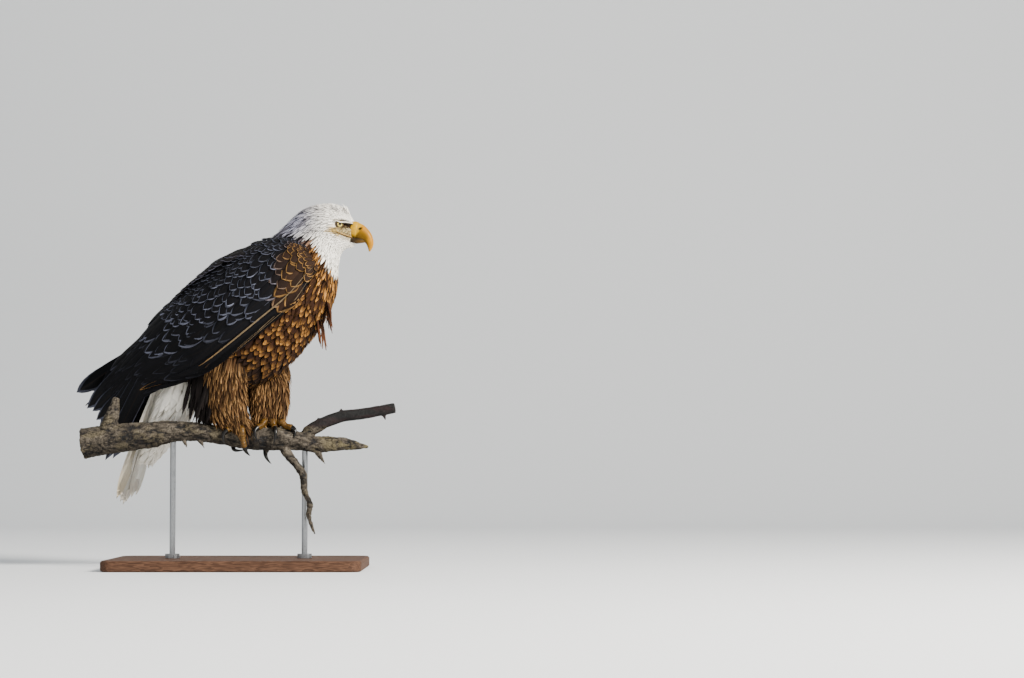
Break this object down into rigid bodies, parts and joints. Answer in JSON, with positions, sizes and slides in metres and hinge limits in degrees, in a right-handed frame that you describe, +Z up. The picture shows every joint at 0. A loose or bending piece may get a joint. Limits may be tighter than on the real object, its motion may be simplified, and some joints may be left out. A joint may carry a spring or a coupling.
{
  "type": "mounted bald eagle",
  "caption": "Life-size still model of an adult bald eagle gripping a short cut branch, wings folded, head in profile, on a flat base with two rods",
  "frame": {"origin": "centre of the stand base's underside", "axes": "+Z up, +X along the branch towards the side the bird looks to, -Y towards the viewer"},
  "size_m": [0.6796, 0.3318, 0.7448],
  "materials": {
    "white_feather": "white body feathers",
    "dark_feather": "near-black flight feathers and coverts",
    "brown_feather": "brown body feathers with tawny tips",
    "cere": "bright yellow waxy skin",
    "bill": "orange-yellow horn",
    "eye": "glossy, pale yellow iris",
    "foot": "yellow scaly skin",
    "talon": "polished black horn",
    "bark": "rough grey-brown bark with lichen",
    "base": "satin dark wood",
    "rod": "brushed rod"
  },
  "bodies": {
    "root": {"head": "white_feather", "neck": "white_feather", "trunk": "brown_feather", "tail": "white_feather", "undertail_coverts": "white_feather", "cere": "cere", "bill_upper": "bill", "bill_lower": "bill", "eye_right": "eye", "wing_right_arm": "dark_feather", "wing_right_primaries": "dark_feather", "thigh_right": "brown_feather", "foot_right": "foot", "toe_right_inner": "foot", "talon_right_inner": "talon", "toe_right_middle": "foot", "talon_right_middle": "talon", "toe_right_outer": "foot", "talon_right_outer": "talon", "toe_right_hind": "foot", "talon_right_hind": "talon", "eye_left": "eye", "wing_left_arm": "dark_feather", "wing_left_primaries": "dark_feather", "thigh_left": "brown_feather", "foot_left": "foot", "toe_left_inner": "foot", "talon_left_inner": "talon", "toe_left_middle": "foot", "talon_left_middle": "talon", "toe_left_outer": "foot", "talon_left_outer": "talon", "toe_left_hind": "foot", "talon_left_hind": "talon", "perch_limb": "bark", "perch_fork": "bark", "perch_twig": "bark", "perch_stump": "bark", "perch_thorn": "bark", "stand_base": "base", "stand_rod_1": "rod", "stand_rod_2": "rod", "stand_collar_1": "rod", "stand_collar_2": "rod"}
  },
  "joints": []
}
